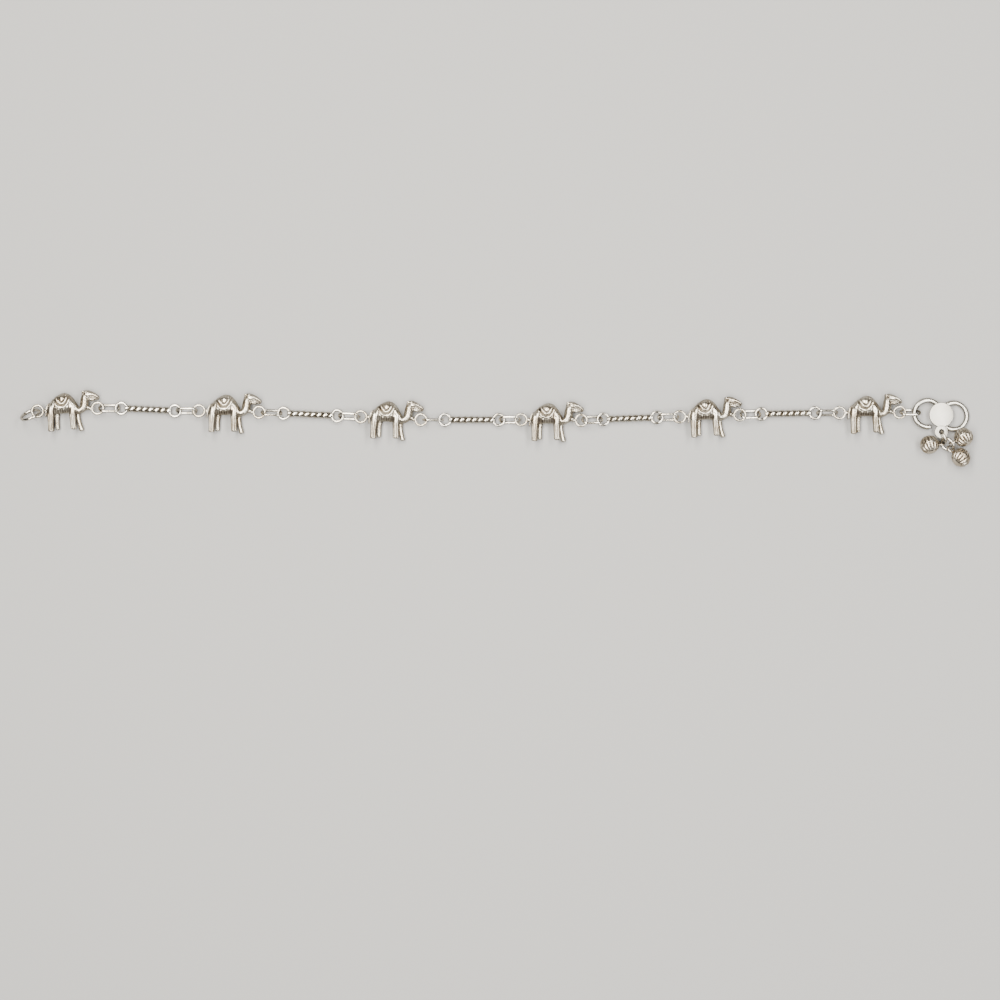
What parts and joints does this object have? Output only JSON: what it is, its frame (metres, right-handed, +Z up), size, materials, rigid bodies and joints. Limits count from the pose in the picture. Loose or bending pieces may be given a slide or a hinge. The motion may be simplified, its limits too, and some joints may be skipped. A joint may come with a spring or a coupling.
{
  "type": "camel payal anklet",
  "caption": "Silver payal anklet laid out straight: cast camels and twisted bars joined by oval links, a plain end ring, and an S clasp with a disc and small ridged bells.",
  "frame": {"origin": "middle of the outline on the surface that the anklet lies on", "axes": "+X along the chain towards the clasp, +Y towards the camels' backs, +Z up from the surface"},
  "size_m": [0.2658, 0.0214, 0.0054],
  "materials": {
    "cast_silver": "cast silver, polished on the high places and oxidised dark in the recesses",
    "wire_silver": "drawn silver wire, polished and a little worn",
    "satin_silver": "silver with a fine satin face on the disc",
    "bell_silver": "stamped silver, warm in tone and oxidised between the ridges"
  },
  "bodies": {
    "root": {"end_ring": "wire_silver", "camel_1": "cast_silver", "camel_2": "cast_silver", "camel_3": "cast_silver", "camel_4": "cast_silver", "camel_5": "cast_silver", "camel_6": "cast_silver", "oval_link_1": "wire_silver", "oval_link_2": "wire_silver", "oval_link_3": "wire_silver", "oval_link_4": "wire_silver", "oval_link_5": "wire_silver", "oval_link_6": "wire_silver", "oval_link_7": "wire_silver", "oval_link_8": "wire_silver", "oval_link_9": "wire_silver", "oval_link_10": "wire_silver", "twist_bar_1": "wire_silver", "twist_bar_2": "wire_silver", "twist_bar_3": "wire_silver", "twist_bar_4": "wire_silver", "twist_bar_5": "wire_silver", "clasp_link": "wire_silver", "s_clasp": "satin_silver", "tab_ring": "wire_silver", "bell_ring": "wire_silver", "bell_1": "bell_silver", "bell_2": "bell_silver", "bell_3": "bell_silver"}
  },
  "joints": []
}
